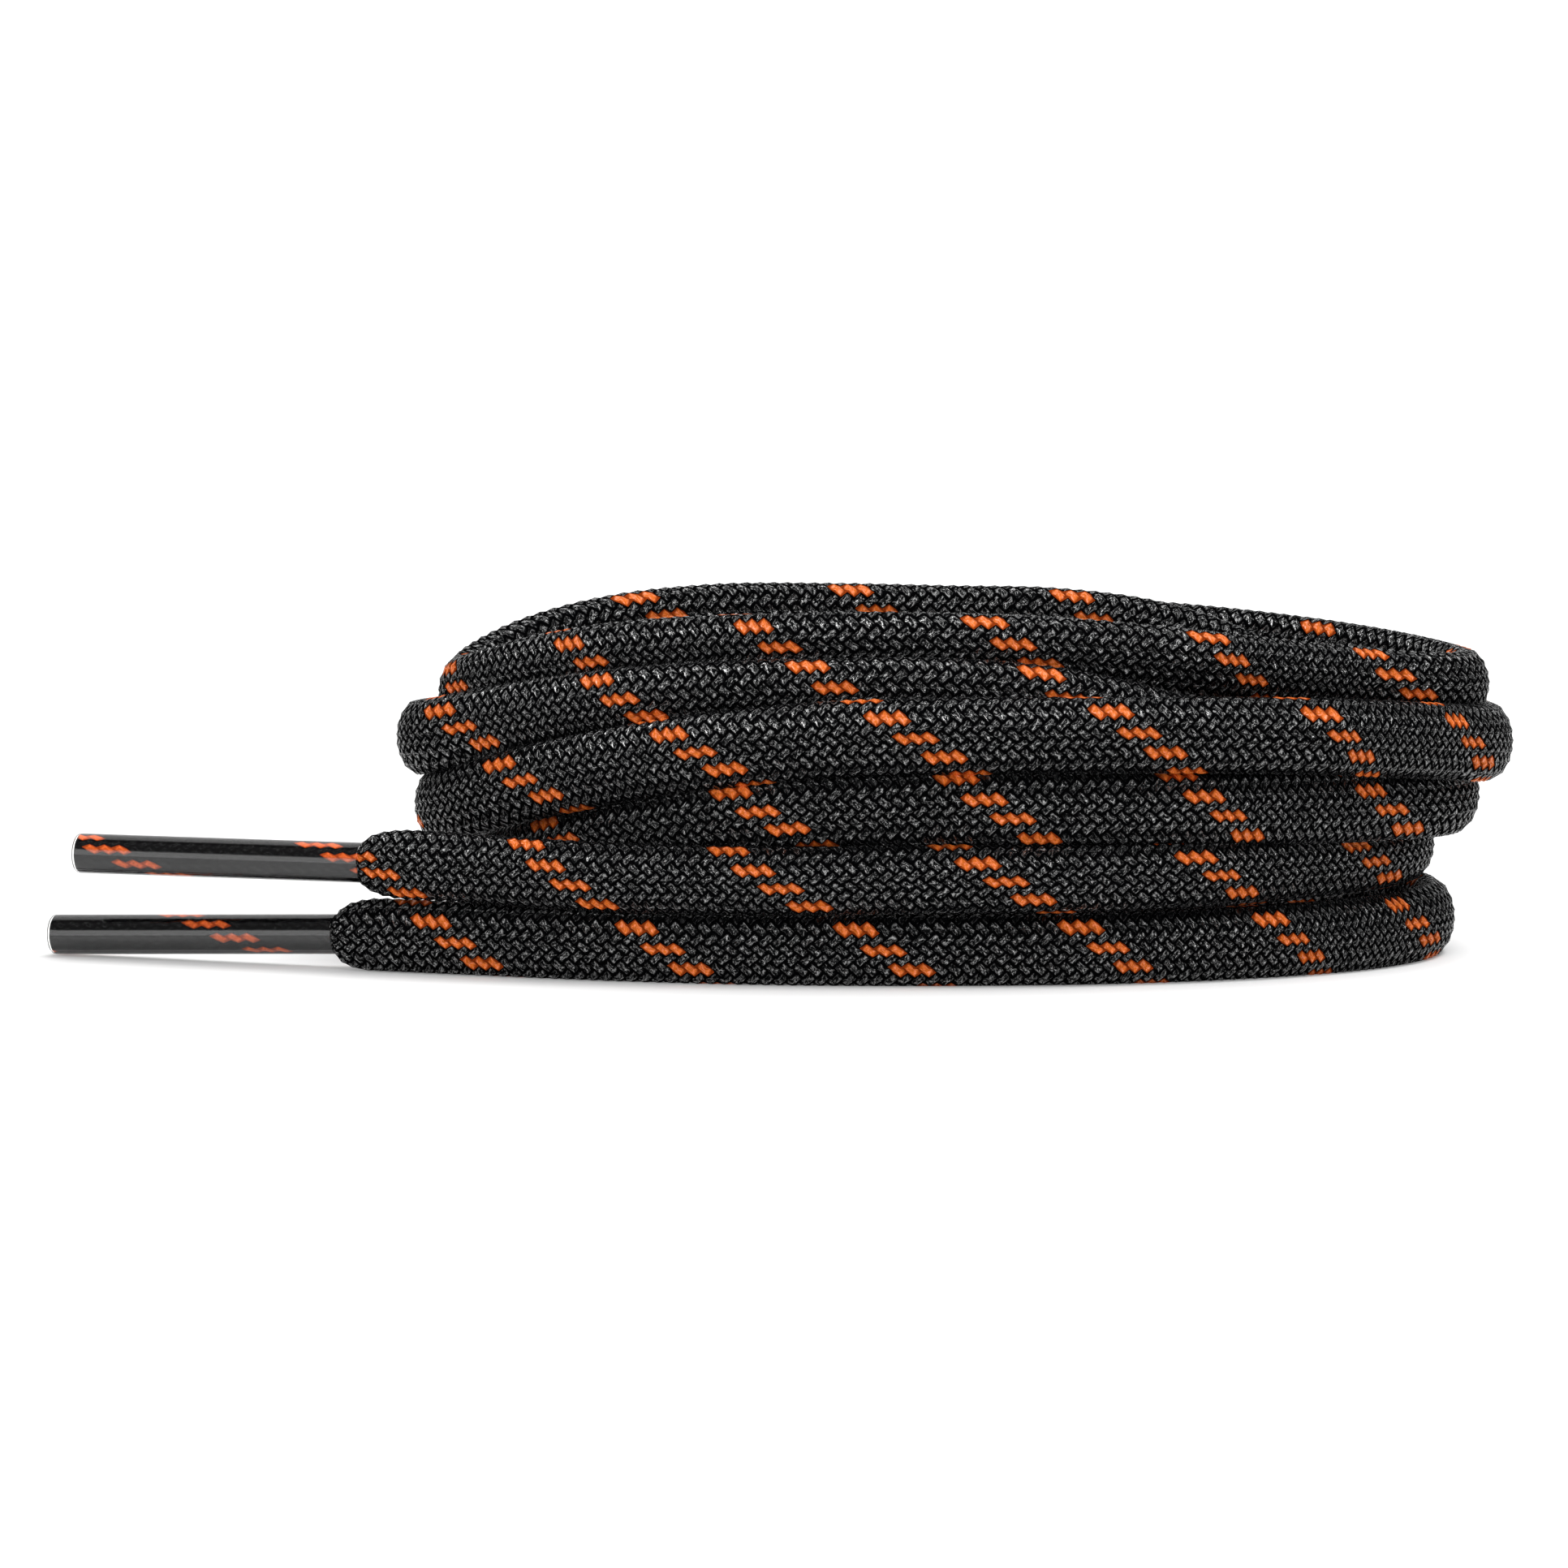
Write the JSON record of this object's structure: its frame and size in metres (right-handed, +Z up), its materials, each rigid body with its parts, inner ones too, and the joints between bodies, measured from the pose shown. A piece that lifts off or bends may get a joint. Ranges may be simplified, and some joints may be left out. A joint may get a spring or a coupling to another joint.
{
  "type": "wound boot lace",
  "caption": "Oval braided boot lace, doubled and wound into a low oval pile, with a clear film aglet on each end.",
  "frame": {"origin": "middle of the part's box, on the floor that the pile lies on", "axes": "+X along the pile's long side, away from the aglets; +Y away from the side where the aglets leave; +Z up"},
  "size_m": [0.0974, 0.0396, 0.0233],
  "materials": {
    "braid": "black polyester braid with orange tracer yarns",
    "pressed_braid": "the same braid pressed tight inside the aglet",
    "film": "clear glossy acetate film"
  },
  "bodies": {
    "lace": {"wound_lace": "braid", "lace_tail_a": "braid", "lace_tail_b": "braid", "pressed_end_a": "pressed_braid", "pressed_end_b": "pressed_braid", "aglet_film_a": "film", "aglet_film_b": "film"}
  },
  "joints": []
}
